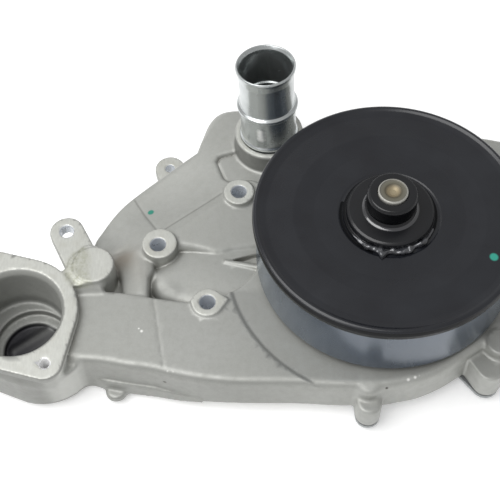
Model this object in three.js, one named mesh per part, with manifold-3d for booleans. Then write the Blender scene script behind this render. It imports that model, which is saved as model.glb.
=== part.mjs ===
// Engine coolant pump: cast aluminium housing with thermostat inlet, hose neck, two rear
// ports, sealed double-row shaft bearing, face seal, impeller and a flat-belt pulley.
// Millimetres, +Z up. The pump lies on its two rear port faces, the shaft stands upright.
import * as THREE from 'three';
import { mergeVertices } from 'three/addons/utils/BufferGeometryUtils.js';
import Module from 'manifold-3d';

const wasm = await Module();
wasm.setup();

// ---------------------------------------------------------------- driving dimensions
const SHIFT_X = 53.6, SHIFT_Y = -15.55, LIFT = 88.0; // shaft axis sits at (SHIFT_X, SHIFT_Y); work height 0 is the pulley rim
const PULLEY_R = 80, DRUM_R = 78, DRUM_IN = 75, DRUM_Z = -46.5;
const HUB_R = 27.5, SLEEVE_R = 14.7, SHAFT_R = 8.6, SHAFT_TOP = 20.7, SHAFT_END = -77.6;
const DECK_Z = -50, JOINT_Z = -79.5, PORT_Z = -88, BOSS_Z = -48.5;
const NOSE_R = 25, NOSE_Z = -11.5;
const RACE_R = 19, RACE_TOP = -12.5, RACE_BOT = -49.7;
const ROLL_D = 6.6, PITCH_R = 12.25, ROLLERS = 8;
const THERMO = [-223.2, -33.9], THERMO_R = 29.8, FLANGE_Z = -44;
const NECK = [-66.8, 93.7, -40], NECK_R = 18, NECK_BORE = 16.4;
const BOSSES = [[-138.8, 13.6], [-87.6, 52.0], [-108.3, -28.7]], BOSS_R = 10, BOSS_HOLE = 4.8;
const COVER_T = 2.5, GASKET_T = 0.5, GAP = 0.3;
const COVER_R = 79, BOLT_HOLE = 3.3, BOLT_R = 2.7, TAP_R = 3.0;
const COVER_BOLTS = [[-15, -91.3], [57.5, -73.5], [70.3, -23.2], [65.3, 34.7], [25.3, 69.5],
  [-25.3, 69.5], [-65.3, 34.7], [-70.3, -23.2], [-44.5, -59]];

// ---------------------------------------------------------------- helpers
const rad = (d) => d * Math.PI / 180;
function solid(geo, x = 0, y = 0, z = 0) {
  const g = geo.index ? geo.toNonIndexed() : geo.clone();
  for (const k of Object.keys(g.attributes)) if (k !== 'position') g.deleteAttribute(k);
  g.translate(x, y, z);
  const m = mergeVertices(g, 1e-4);
  const idx = m.index.array, tri = [];
  for (let i = 0; i < idx.length; i += 3) {
    const [a, b, c] = [idx[i], idx[i + 1], idx[i + 2]];
    if (a !== b && b !== c && a !== c) tri.push(a, b, c);
  }
  // outward faces whichever way round the profile was written
  const P = m.attributes.position.array;
  let vol = 0;
  for (let i = 0; i < tri.length; i += 3) {
    const [a, b, c] = [3 * tri[i], 3 * tri[i + 1], 3 * tri[i + 2]];
    vol += P[a] * (P[b + 1] * P[c + 2] - P[b + 2] * P[c + 1]) - P[a + 1] * (P[b] * P[c + 2] - P[b + 2] * P[c]) + P[a + 2] * (P[b] * P[c + 1] - P[b + 1] * P[c]);
  }
  if (vol < 0) for (let i = 0; i < tri.length; i += 3) [tri[i + 1], tri[i + 2]] = [tri[i + 2], tri[i + 1]];
  return new wasm.Manifold(new wasm.Mesh({ numProp: 3,
    vertProperties: new Float32Array(m.attributes.position.array), triVerts: new Uint32Array(tri) }));
}
function geometry(man) {
  const m = man.getMesh(), n = m.numProp, p = new Float32Array(m.numVert * 3);
  for (let i = 0; i < m.numVert; i++) for (let k = 0; k < 3; k++) p[3 * i + k] = m.vertProperties[n * i + k];
  const g = new THREE.BufferGeometry();
  g.setAttribute('position', new THREE.BufferAttribute(p, 3));
  g.setIndex(Array.from(m.triVerts));
  g.computeVertexNormals();
  return g;
}
// upright cylinder between two heights
const cyl = (x, y, r, z0, z1, n = 24, r2 = r) =>
  solid(new THREE.CylinderGeometry(r2, r, z1 - z0, n).rotateX(Math.PI / 2), x, y, (z0 + z1) / 2);
// vertical prism over a plan outline
const prism = (pts, z0, z1) =>
  solid(new THREE.ExtrudeGeometry(new THREE.Shape(pts.map((p) => new THREE.Vector2(p[0], p[1]))),
    { depth: z1 - z0, bevelEnabled: false, curveSegments: 8 }), 0, 0, z0);
const box = (x0, x1, y0, y1, z0, z1) =>
  solid(new THREE.BoxGeometry(x1 - x0, y1 - y0, z1 - z0), (x0 + x1) / 2, (y0 + y1) / 2, (z0 + z1) / 2);
// turned piece about the shaft axis: closed profile of [radius, height]
const turned = (prof, n = 36) => {
  const pts = prof.map((p) => new THREE.Vector2(p[0], p[1]));
  if (!(prof[0][0] === 0 && prof[prof.length - 1][0] === 0)) pts.push(pts[0].clone());
  return solid(new THREE.LatheGeometry(pts, n).rotateX(Math.PI / 2));
};
const join = (...a) => a.reduce((s, b) => s.add(b));
const cut = (s, ...a) => a.reduce((t, b) => t.subtract(b), s);
// outline of the hull of several discs [x, y, r]
function discHull(discs, n = 16) {
  const pts = [];
  for (const [x, y, r] of discs) for (let i = 0; i < n; i++)
    pts.push([x + r * Math.cos(2 * Math.PI * i / n), y + r * Math.sin(2 * Math.PI * i / n)]);
  pts.sort((a, b) => a[0] - b[0] || a[1] - b[1]);
  const cross = (o, a, b) => (a[0] - o[0]) * (b[1] - o[1]) - (a[1] - o[1]) * (b[0] - o[0]);
  const lo = [], hi = [];
  for (const p of pts) { while (lo.length > 1 && cross(lo[lo.length - 2], lo[lo.length - 1], p) <= 1e-6) lo.pop(); lo.push(p); }
  for (const p of pts.slice().reverse()) { while (hi.length > 1 && cross(hi[hi.length - 2], hi[hi.length - 1], p) <= 1e-6) hi.pop(); hi.push(p); }
  return lo.slice(0, -1).concat(hi.slice(0, -1));
}
const link = (discs, z0, z1, n = 16) => prism(discHull(discs, n), z0, z1);
const mirror = (pts) => pts.map((p) => [-p[0], p[1], ...p.slice(2)]).reverse();
// half-space block under which a roof slopes: the block's lower face passes through p with unit normal n
function above(p, n) {
  const g = new THREE.BoxGeometry(400, 400, 60);
  g.translate(0, 0, 30);
  const q = new THREE.Quaternion().setFromUnitVectors(new THREE.Vector3(0, 0, 1), new THREE.Vector3(...n).normalize());
  g.applyQuaternion(q);
  return solid(g, ...p);
}

// ---------------------------------------------------------------- housing outlines (plan)
const FRONT = [[-184, -61], [-171.4, -66], [-156, -69.4], [-142, -72], [-128, -76], [-112.9, -79.6], [-98, -81.9],
  [-84.1, -83], [-55.3, -84.2], [-32.5, -86.2], [-7.2, -86.9], [5, -85.2], [13.8, -83.6], [23, -80.3], [32.1, -75.9], [45.4, -67.3]];
const bodyOutline = FRONT.concat([[62, -57], [76, -44], [84, -28], [86, 0], [84, 24], [76, 44], [60, 62], [40, 76], [15, 84], [-15, 84],
  [-40, 76], [-60, 62], [-76, 44], [-84, 20], [-90, -2], [-96, -22], [-108, -29], [-138.2, -24.2], [-157, -20.2], [-170.5, -18.2], [-186, -16.7]]);
// left rear-port block with its sloping roof
const leftPort = [[-108, -38.7], [-118, -33], [-127, -22], [-146, -10], [-160, 0], [-176, 12], [-179.8, 26.5], [-174.6, 39.5], [-167.2, 51],
  [-159.7, 59.4], [-150, 67.2], [-140.1, 73.3], [-123.6, 83.4], [-113.5, 92.2], [-96, 90], [-82, 66], [-74, 44], [-78, 10], [-84, -18], [-97, -36]].reverse();
const rightPort = [[108, -38.7], [118, -34], [134, -20], [148, 0], [152, 10], [154, 26], [152, 44], [149, 61], [139, 72], [123.6, 83],
  [113, 90], [96, 88], [82, 66], [74, 44], [78, 10], [84, -18], [97, -36]];
const lobe = [[-113.5, 91], [-111.1, 105.3], [-108.3, 118], [-104.2, 125], [-95.9, 129.6], [-85.5, 130], [-66, 127.5], [-47.3, 121.7],
  [-43.6, 114], [-30, 100], [-25, 60], [-62, 45], [-96, 60]].reverse();
const crossover = [[-50, 50], [-50, 112], [-20, 112], [30, 108], [80, 98], [112, 86], [92, 40], [60, 45]].reverse();
const flangeDiscs = [[...THERMO, 38], [-202.8, -68.7, 10.5], [-243.6, 0.9, 10.5]];

// the hose neck leans a little; its boss, counterbore and tube share the leaning axis
const neckAxis = new THREE.Vector3(-0.045, 0.087, 1).normalize();
const neckQ = new THREE.Quaternion().setFromUnitVectors(new THREE.Vector3(0, 0, 1), neckAxis);
const leaning = (prof, n) => solid(new THREE.LatheGeometry(prof.concat([prof[0]]).map((p) => new THREE.Vector2(...p)), n)
  .rotateX(Math.PI / 2).applyQuaternion(neckQ), ...NECK);

// ---------------------------------------------------------------- pump housing
let leftRoof = cut(prism(leftPort, PORT_Z, -50),
  above([-92.6, 52.0, -50.5], [-0.6 * 0.39, 0.8 * 0.39, 1]),
  above([-143.8, 14, -50.5], [-0.89 * 0.41, 0.46 * 0.41, 1]),
  above([-113, 32.8, -50.5], [0.06, -0.08, 1]));
let rightRoof = cut(prism(rightPort, PORT_Z, -50),
  above([92.6, 52.0, -50.5], [0.6 * 0.39, 0.8 * 0.39, 1]),
  above([143.8, 14, -50.5], [0.89 * 0.41, 0.46 * 0.41, 1]),
  above([113, 32.8, -50.5], [-0.06, -0.08, 1]));
let housing = join(
  prism(bodyOutline, JOINT_Z, DECK_Z), leftRoof, rightRoof,
  prism(lobe, JOINT_Z, -55), prism(crossover, JOINT_Z, -58),
  link(flangeDiscs.map(([x, y, r]) => [x, y, r - 1.8]), PORT_Z + 8, -49.5),
  link(flangeDiscs.map(([x, y, r]) => [x, y, r - 5.5]), PORT_Z, -78),
  link(flangeDiscs, -50, FLANGE_Z, 24),
  cyl(0, 0, NOSE_R, DECK_Z - 2, NOSE_Z, 28), cyl(0, 0, 42, DECK_Z - 2, -38, 28, NOSE_R),
  cyl(NECK[0], NECK[1], 22.5, -60, -47, 28), leaning([[0, -14], [22.4, -14], [22.4, 0], [0, 0]], 28),
  ...BOSSES.map(([x, y]) => cyl(x, y, BOSS_R, PORT_Z + 2, BOSS_Z, 18)),
  ...BOSSES.map(([x, y]) => cyl(-x, y, BOSS_R, PORT_Z + 2, BOSS_Z, 18)),
  link([[-108.3, -28.7, 10], [-95.6, -26.5, 1.5]], -60, BOSS_Z, 16),
  link([[-195.5, 22.9, 10.7], [-182, 0, 11]], -53, -44.8, 16),
  cyl(-177.6, -2.8, 12.8, -66, -43, 28),
  prism([[-198, -8], [-192, -14.5], [-186.5, -19], [-172, -19], [-172, -4], [-178, 6], [-185, 8], [-189.2, 4.3], [-191.7, -0.7]], -60, -44.6),
  link([[-178.5, -2, 9], [-176, -24, 9]], -76, -51, 16),
  link([[-150, -16, 6], [-141, 2, 8], [-130, -18, 8]], JOINT_Z, -53.5, 16),
  prism([[-182, -22], [-182, 6], [-176, 16], [-150, 4], [-150, -22]].reverse(), JOINT_Z, -74),
  link([[-134.2, 91.1, 10], [-124, 72, 12]], JOINT_Z - 3, -74, 16),
  link([[-15, -91.3, 7.6], [-15, -78, 9]], JOINT_Z, -62, 16), cyl(-15, -80, 9, -62, -53, 20),
  link([[57.5, -73.5, 8.5], [50, -58, 10], [72, -54, 10]], JOINT_Z, -58, 16),
  link([[63, -60, 8], [72, -48, 8]], JOINT_Z, -51, 16),
  prism([[-190, -60.5], [-171.9, -67.9], [-156.4, -71.3], [-142.3, -74], [-128.3, -77.6], [-118, -79.4], [-118, -70], [-150, -58], [-188, -50]], -83.5, -72),
  cyl(-162.6, -71.6, 6.5, -83.5, -78.6, 20),
);
// cover screw bosses inside the pump chamber stay solid: the chamber is cut round them below
const chamberFloor = -66;            // front wall of the impeller chamber
const volute = link([[0, 0, 45], [-14, 4, 45], [12, -6, 44]], JOINT_Z - 1, chamberFloor, 20);
const suction = join(
  prism([[-206, -58], [-180, -60], [-150, -66], [-112, -74], [-60, -78], [-24, -66], [-16, -44], [-44, -30], [-70, -44], [-99, -53], [-122, -47], [-150, -33], [-184, -34], [-206, -40]], -75.5, -54.5),
  cyl(0, 0, 47, -62.5, -54.5, 24));
const suctionWeb = join(cyl(0, 0, 52, JOINT_Z, -62.5, 24), cyl(0, 0, 21.5, -62.5, DECK_Z, 20));
housing = cut(housing, suction.subtract(suctionWeb), volute,
  cyl(0, 0, 24, -67, -62, 20), cyl(0, 0, COVER_R + 2.4, PORT_Z - 1, JOINT_Z, 40),
  box(-128, -44, -9, 14, -77.5, -67), box(44, 128, -9, 14, -77.5, -67),
  box(-128, -97, -13, 17, PORT_Z - 1, -58), box(97, 128, -13, 17, PORT_Z - 1, -58),
  link([[-138, 42, 9], [-122, 54, 9], [-124, 40, 9]], PORT_Z - 1, -69, 12),
  link([[138, 42, 9], [122, 54, 9], [124, 40, 9]], PORT_Z - 1, -69, 12),
  link([[-124, 52, 9], [-94, 78, 9], [NECK[0], NECK[1], 14]], -76.5, -68, 12),
  link([[NECK[0], NECK[1], 13], [30, 92, 9]], -76.5, -68, 12), link([[30, 92, 9], [96, 78, 9]], -76.5, -68, 12),
  link([[96, 78, 9], [124, 52, 9]], -76.5, -68, 12),
  cyl(NECK[0], NECK[1], NECK_BORE, -75, -30, 20),
  cyl(0, 0, RACE_R + GAP, RACE_BOT - 0.3, 0, 28), cyl(0, 0, 14.5, -57, RACE_BOT, 24), cyl(0, 0, 18.2, -64, -56, 24),
  box(-3, 3, 0, 46, -54.4, -51.4).subtract(cyl(0, 0, 10, -60, -50, 16)),
  cyl(0, 43, 3, -54.4, -45, 12),
  cyl(...THERMO, THERMO_R, -75.5, FLANGE_Z + 1, 32), cyl(-218.6, -36.2, 24.7, -81.5, -74, 24),
  cyl(-218, -39, 18.3, -86, -80, 20),
  cyl(-202.8, -68.7, 3, PORT_Z - 1, FLANGE_Z + 1, 12), cyl(-243.6, 0.9, 3, PORT_Z - 1, FLANGE_Z + 1, 12),
  ...BOSSES.flatMap(([x, y]) => [cyl(x, y, BOSS_HOLE, PORT_Z - 1, BOSS_Z + 1, 12), cyl(-x, y, BOSS_HOLE, PORT_Z - 1, BOSS_Z + 1, 12)]),
  cyl(-195.5, 22.9, 4.2, -60, -40, 14), cyl(-134.2, 91.1, 3, -90, -60, 12),
  ...COVER_BOLTS.map(([x, y]) => cyl(x, y, TAP_R, JOINT_Z - 1, -67.5, 10)),
);
// counterbore for the neck follows its lean
housing = cut(housing, leaning([[0, -12], [NECK_R + GAP, -12], [NECK_R + GAP, 20], [0, 20]], 30));

// ---------------------------------------------------------------- rear cover, gasket, screws
const coverOutline = () => {
  let o = join(cyl(0, 0, COVER_R, -1, 1, 36), link([[-15, -91.3, 7.3], [-15, -70, 8]], -1, 1, 16),
    link([[57.5, -73.5, 8.2], [46, -52, 12]], -1, 1, 16));
  return o;
};
const slab = (z0, z1, inner) => {
  const k = (z1 - z0) / 2;
  let s = coverOutline().scale([1, 1, k]).translate([0, 0, (z0 + z1) / 2]);
  if (inner) s = s.subtract(inner);
  for (const [x, y] of COVER_BOLTS) s = s.subtract(cyl(x, y, BOLT_HOLE, z0 - 1, z1 + 1, 10));
  return s;
};
const gTop = JOINT_Z - GAP, gBot = gTop - GASKET_T, cTop = gBot - GAP, cBot = cTop - COVER_T;
const gasket = slab(gBot, gTop, link([[0, 0, 48], [-14, 4, 48], [12, -6, 47]], gBot - 1, gTop + 1, 32));
const cover = slab(cBot, cTop).subtract(cyl(0, 0, 50, cBot - 1, cBot + 0.8, 24, 48.6))
  .subtract(cyl(0, 0, 3.2, cBot - 1, cBot + 1.2, 14));
const screw = (x, y) => {
  const z = cBot - GAP;
  return join(cyl(x, y, BOLT_R, z - 0.5, -68.3, 10), cyl(x, y, 6.2, z - 1.1, z, 14), cyl(x, y, 4.9, z - 3.9, z - 1, 6));
};

// ---------------------------------------------------------------- hose neck (beaded steel tube pressed into the casting)
const neck = leaning([[NECK_BORE, -11], [NECK_R, -11], [NECK_R, 0.35], [NECK_R + 1.3, 0.6], [NECK_R + 1.3, 2.2], [NECK_R, 3.4],
  [NECK_R, 25.6], [NECK_R + 1.2, 27.2], [NECK_R + 1.2, 28.8], [NECK_R, 30.4], [NECK_R, 52], [NECK_R + 0.7, 55],
  [NECK_R + 0.6, 58.2], [NECK_R - 0.6, 58.6], [NECK_BORE, 57]], 30);

// ---------------------------------------------------------------- pulley, hub, shaft
const pulley = turned([[DRUM_IN, DRUM_Z], [DRUM_R, DRUM_Z], [DRUM_R, -9.5], [79.4, -7.6], [PULLEY_R, -4.4], [79.6, -1.2], [77.8, 0],
  [76.4, -0.7], [75.4, -2.3], [51.5, -0.9], [38, -2.6], [15.3, -2.8], [15.3, -5.8], [40, -5.6], [51, -4.2], [72, -5.4], [DRUM_IN, -12]], 52);
const hub = turned([[8.95, 19], [13.7, 19], [SLEEVE_R, 18], [SLEEVE_R, 6.0], [16.4, 4.2], [26.3, 4.0], [HUB_R, 3.0],
  [HUB_R, -2.4], [14.9, -2.4], [14.9, -9.2], [8.95, -9.2]], 36);
const shaft = turned([[0, SHAFT_TOP - 4], [4.2, SHAFT_TOP - 2.6], [4.5, SHAFT_TOP - 0.4], [5, SHAFT_TOP], [7.6, SHAFT_TOP], [SHAFT_R, SHAFT_TOP - 1.2], [SHAFT_R, -48.5],
  [8.2, -49], [8.2, SHAFT_END], [0, SHAFT_END]], 24);

// ---------------------------------------------------------------- double-row bearing (balls in front, rollers behind)
const BALL_Z = -21.5, ROLL_Z = -39;
const outerRace = turned([[15.9, RACE_BOT], [18.6, RACE_BOT], [RACE_R, RACE_BOT + 0.5], [RACE_R, RACE_TOP - 0.5], [18.6, RACE_TOP], [16.6, RACE_TOP],
  [16.6, RACE_TOP - 3.2], [15.9, RACE_TOP - 3.2]], 32);
const lipSeal = (z) => turned([[8.95, z - 0.4], [10.5, z - 1.1], [16.2, z - 1.1], [16.2, z + 1.1], [10.5, z + 1.1], [8.95, z + 0.4]], 24);
const sealFront = lipSeal(RACE_TOP - 1.6);
const sealRear = turned([[8.55, RACE_BOT + 1.0], [10.2, RACE_BOT + 0.3], [15.5, RACE_BOT + 0.3], [15.5, RACE_BOT + 2.3], [10.4, RACE_BOT + 2.3], [8.95, RACE_BOT + 1.8]], 24);
const around = (i) => [PITCH_R * Math.cos(2 * Math.PI * i / ROLLERS), PITCH_R * Math.sin(2 * Math.PI * i / ROLLERS)];
const cage = (z, h, pockets) => cut(turned([[11.3, z - h], [13.3, z - h], [13.3, z + h], [11.3, z + h]], 24), ...pockets);
const ballPockets = [], rollPockets = [];
for (let i = 0; i < ROLLERS; i++) {
  const a = 360 * i / ROLLERS;
  ballPockets.push(solid(new THREE.CylinderGeometry(3.85, 3.85, 8, 8).rotateZ(Math.PI / 2).translate(12.3, 0, 0).rotateZ(rad(a)), 0, 0, BALL_Z));
  rollPockets.push(solid(new THREE.BoxGeometry(8, 7.4, 11.0).translate(12.3, 0, 0).rotateZ(rad(a)), 0, 0, ROLL_Z));
}
const ballCage = cage(BALL_Z, 4.6, ballPockets), rollerCage = cage(ROLL_Z, 7, rollPockets);

// ---------------------------------------------------------------- face seal, slinger, impeller
const slinger = turned([[8.55, -52.8], [12.6, -53.3], [13.2, -52.7], [9.6, -51.3], [8.55, -51.3]], 20);
const sealCup = turned([[11.4, -56.4], [17.8, -56.4], [17.8, -62.4], [17.0, -62.4], [17.0, -57.2], [11.4, -57.2]], 24);
const bellows = turned([[11.6, -57.6], [13.2, -57.6], [12.4, -59.4], [13.2, -61.2], [11.6, -61.2]], 20);
class Coil extends THREE.Curve {
  getPoint(t, o = new THREE.Vector3()) {
    const a = 2 * Math.PI * 2.25 * t;
    return o.set(15.2 * Math.cos(a), 15.2 * Math.sin(a), -61.0 + 2.9 * t);
  }
}
const springShape = new THREE.Shape(Array.from({ length: 5 }, (_, i) => new THREE.Vector2(0.5 * Math.cos(i * Math.PI / 2.5), 0.5 * Math.sin(i * Math.PI / 2.5))));
const spring = solid(new THREE.ExtrudeGeometry(springShape, { steps: 32, extrudePath: new Coil(), bevelEnabled: false }));
const carbonRing = turned([[9.6, -61.6], [13.4, -61.6], [13.4, -63.4], [12.2, -64.2], [10.2, -64.2], [9.6, -63.4]], 20);
const matingRing = turned([[8.5, -64.5], [13.6, -64.5], [13.6, -67.2], [8.5, -67.2]], 20);
const blade = (i) => {
  const pts = [], back = [];
  for (let k = 0; k <= 4; k++) {
    const r = 15 + 21 * k / 4, a = -0.9 * (k / 4) ** 1.1;
    pts.push([r * Math.cos(a), r * Math.sin(a)]);
    back.push([r * Math.cos(a + 2.2 / r), r * Math.sin(a + 2.2 / r)]);
  }
  const o = pts.concat(back.reverse());
  return solid(new THREE.ExtrudeGeometry(new THREE.Shape(o.map((p) => new THREE.Vector2(...p))), { depth: 8.2, bevelEnabled: false })
    .rotateZ(2 * Math.PI * i / 7), 0, 0, -76.6);
};
const impeller = join(turned([[8.5, -78.2], [36.5, -78.2], [36.5, -76.2], [16, -76.2], [13, -73.5], [12, -67.6], [8.5, -67.6]], 28),
  ...Array.from({ length: 7 }, (_, i) => blade(i)));
const weepScreen = turned([[0, -45.9], [2.7, -45.9], [2.7, -44.2], [2.1, -43.7], [0, -43.7]], 16).translate([0, 43, 0]);

// ---------------------------------------------------------------- assembly
const finish = {
  cast: ['#adaea8', 0.62, 0.75], zinc: ['#c4c8cb', 0.3, 0.95], black: ['#1c1c1f', 0.38, 0.2], steel: ['#9da0a2', 0.35, 1.0],
  race: ['#8b8e91', 0.3, 1.0], rubber: ['#161616', 0.8, 0.0], gasket: ['#2c2d2f', 0.7, 0.3], brass: ['#b59a55', 0.35, 1.0],
  carbon: ['#26272a', 0.5, 0.1], ceramic: ['#e2ddd0', 0.3, 0.0], nylon: ['#7a6a4a', 0.55, 0.0], stamped: ['#a9acae', 0.4, 0.9],
};
const group = new THREE.Group();
function add(name, man, kind) {
  const [color, roughness, metalness] = finish[kind];
  const mesh = new THREE.Mesh(man instanceof THREE.BufferGeometry ? man : geometry(man), new THREE.MeshStandardMaterial({ color, roughness, metalness }));
  mesh.name = name;
  mesh.position.set(SHIFT_X, SHIFT_Y, LIFT);
  group.add(mesh);
  return mesh;
}
add('pump_housing', housing, 'cast');
add('rear_cover', cover, 'stamped');
add('rear_cover_gasket', gasket, 'gasket');
COVER_BOLTS.forEach(([x, y], i) => add(`cover_screw_${i + 1}`, screw(x, y), 'zinc'));
add('hose_neck_tube', neck, 'zinc');
add('weep_hole_screen', weepScreen, 'brass');
add('pulley', pulley, 'black');
add('pulley_hub', hub, 'black');
add('pump_shaft', shaft, 'steel');
add('impeller', impeller, 'stamped');
add('bearing_outer_race', outerRace, 'race');
add('bearing_front_seal', sealFront, 'rubber');
add('bearing_rear_seal', sealRear, 'rubber');
add('ball_cage', ballCage, 'nylon');
add('roller_cage', rollerCage, 'nylon');
for (let i = 0; i < ROLLERS; i++) {
  const [x, y] = around(i);
  add(`bearing_ball_${i + 1}`, solid(new THREE.SphereGeometry(ROLL_D / 2, 9, 6), x, y, BALL_Z), 'race');
  add(`bearing_roller_${i + 1}`, cyl(x, y, ROLL_D / 2, ROLL_Z - 5, ROLL_Z + 5, 10), 'race');
}
add('slinger', slinger, 'rubber');
add('seal_cup', sealCup, 'brass');
add('seal_bellows', bellows, 'rubber');
add('seal_spring', spring, 'steel');
add('seal_carbon_ring', carbonRing, 'carbon');
add('seal_mating_ring', matingRing, 'ceramic');

export default group;
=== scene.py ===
"""Looks of the engine coolant pump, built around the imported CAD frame. Lengths in the helpers are millimetres from the
pulley axis (x right, y away, z up from the pulley's rim); at() turns them into metres in the shared frame."""
import math
import bpy
import numpy as np
import openvdb as vdb
from mathutils import Matrix, Vector


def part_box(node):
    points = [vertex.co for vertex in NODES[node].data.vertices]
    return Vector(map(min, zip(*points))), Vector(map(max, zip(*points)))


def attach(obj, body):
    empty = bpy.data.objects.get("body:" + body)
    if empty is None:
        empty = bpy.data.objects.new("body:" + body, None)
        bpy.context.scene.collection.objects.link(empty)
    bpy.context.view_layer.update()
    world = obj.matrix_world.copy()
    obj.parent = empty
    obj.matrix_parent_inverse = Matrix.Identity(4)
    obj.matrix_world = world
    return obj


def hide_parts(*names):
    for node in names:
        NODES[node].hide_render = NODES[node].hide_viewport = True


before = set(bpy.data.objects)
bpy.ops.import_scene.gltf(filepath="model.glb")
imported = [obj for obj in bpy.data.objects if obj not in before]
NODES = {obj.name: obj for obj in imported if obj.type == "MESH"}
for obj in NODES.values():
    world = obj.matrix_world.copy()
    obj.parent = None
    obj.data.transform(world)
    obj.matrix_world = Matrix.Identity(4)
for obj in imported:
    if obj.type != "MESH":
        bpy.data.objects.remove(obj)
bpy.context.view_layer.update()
_lo, _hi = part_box("pulley")
AX, AY, AZ = (_lo[0] + _hi[0]) * 500.0, (_lo[1] + _hi[1]) * 500.0, _hi[2] * 1000.0
SHIFT = np.array([AX, AY, AZ])
F = np.float32


def at(p):
    return (np.asarray(p, float) + SHIFT) * 1e-3


# ------------------------------------------------------------------ camera first
def make_camera():
    pitch, roll = math.radians(57.60), math.radians(1.81)
    fwd = np.array([0, math.cos(pitch), -math.sin(pitch)])
    right = np.array([1.0, 0, 0])
    down = np.cross(fwd, right)
    c, s = math.cos(roll), math.sin(roll)
    r2, d2 = c * right + s * down, -s * right + c * down
    cam = bpy.data.cameras.new("photo_camera")
    cam.lens, cam.sensor_width, cam.clip_end = 1100 / 500 * 36.0, 36.0, 20.0
    cam.clip_start = 0.01
    ob = bpy.data.objects.new("photo_camera", cam)
    m = Matrix.Identity(4)
    for i, v in enumerate((r2, -d2, -fwd)):
        for k in range(3):
            m[k][i] = v[k]
    p = at((-81.67, -357.51, 526.38))
    for k in range(3):
        m[k][3] = p[k]
    ob.matrix_world = m
    bpy.context.scene.collection.objects.link(ob)
    bpy.context.scene.camera = ob


make_camera()


# ------------------------------------------------------------------ mesh helpers
def new_object(name, verts, faces, mat, body, replaces=(), sharp=35, normals=None):
    me = bpy.data.meshes.new(name)
    me.from_pydata([tuple(v) for v in verts], [], [tuple(int(i) for i in f) for f in faces])
    me.validate()
    me.update()
    me.shade_smooth()
    if sharp is not None:
        me.set_sharp_from_angle(angle=math.radians(sharp))
    if normals is not None:
        me.normals_split_custom_set_from_vertices([tuple(n) for n in normals])
    ob = bpy.data.objects.new(name, me)
    bpy.context.scene.collection.objects.link(ob)
    me.materials.append(mat)
    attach(ob, body)
    if replaces:
        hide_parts(*replaces)
    return ob


def rounded(prof, n=4):
    """Closed profile of (radius, height[, corner radius]) with its corners turned into arcs."""
    out, m = [], len(prof)
    for i in range(m):
        p = np.array(prof[i][:2], float)
        r = prof[i][2] if len(prof[i]) > 2 else 0.0
        a, b = np.array(prof[i - 1][:2], float), np.array(prof[(i + 1) % m][:2], float)
        u, v = a - p, b - p
        lu, lv = np.linalg.norm(u), np.linalg.norm(v)
        if r <= 0 or lu < 1e-6 or lv < 1e-6 or p[0] < 1e-6:
            out.append(tuple(p))
            continue
        u, v = u / lu, v / lv
        ang = math.acos(max(-1, min(1, float(u @ v))))
        if ang > math.radians(176):
            out.append(tuple(p))
            continue
        t = min(r / math.tan(ang / 2), 0.48 * lu, 0.48 * lv)
        p0, p1 = p + u * t, p + v * t
        for k in range(n + 1):
            w = k / n
            q = (1 - w) ** 2 * p0 + 2 * w * (1 - w) * p + w * w * p1
            out.append(tuple(q))
    return out


def lathe(prof, seg=128, origin=(0, 0, 0), axis=(0, 0, 1), wobble=None):
    """Vertices (metres, shared frame) and faces of a closed profile turned about an axis."""
    prof = [p for i, p in enumerate(prof) if np.hypot(p[0] - prof[i - 1][0], p[1] - prof[i - 1][1]) > 1e-4]
    area = sum(prof[i - 1][0] * prof[i][1] - prof[i][0] * prof[i - 1][1] for i in range(len(prof)))
    if area < 0:
        prof = prof[::-1]
    q = Vector((0, 0, 1)).rotation_difference(Vector(axis).normalized()).to_matrix()
    q = np.array(q, float)
    verts, rows = [], []
    for r, z in prof:
        if r < 1e-6:
            rows.append([len(verts)] * seg)
            verts.append((0.0, 0.0, z))
        else:
            row = []
            for k in range(seg):
                a = 2 * math.pi * k / seg
                rr, zz = (r, z) if wobble is None else wobble(r, z, a)
                row.append(len(verts))
                verts.append((rr * math.cos(a), rr * math.sin(a), zz))
            rows.append(row)
    faces = []
    for i in range(len(rows)):
        a, b = rows[i], rows[(i + 1) % len(rows)]
        if a[0] == a[1] and b[0] == b[1]:
            continue
        for k in range(seg):
            j = (k + 1) % seg
            f = [a[k], a[j], b[j], b[k]]
            f = list(dict.fromkeys(f))
            if len(f) > 2:
                faces.append(f)
    v = np.array(verts) @ q.T + np.array(origin)
    return at(v), faces


def turned(name, prof, mat, body, replaces, seg=128, origin=(0, 0, 0), axis=(0, 0, 1), sharp=30, wobble=None, arc=4):
    v, f = lathe(rounded(prof, arc), seg, origin, axis, wobble)
    return new_object(name, v, f, mat, body, replaces, sharp)


# ------------------------------------------------------------------ materials
def sock(node, name):
    return node.inputs[name]


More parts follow.
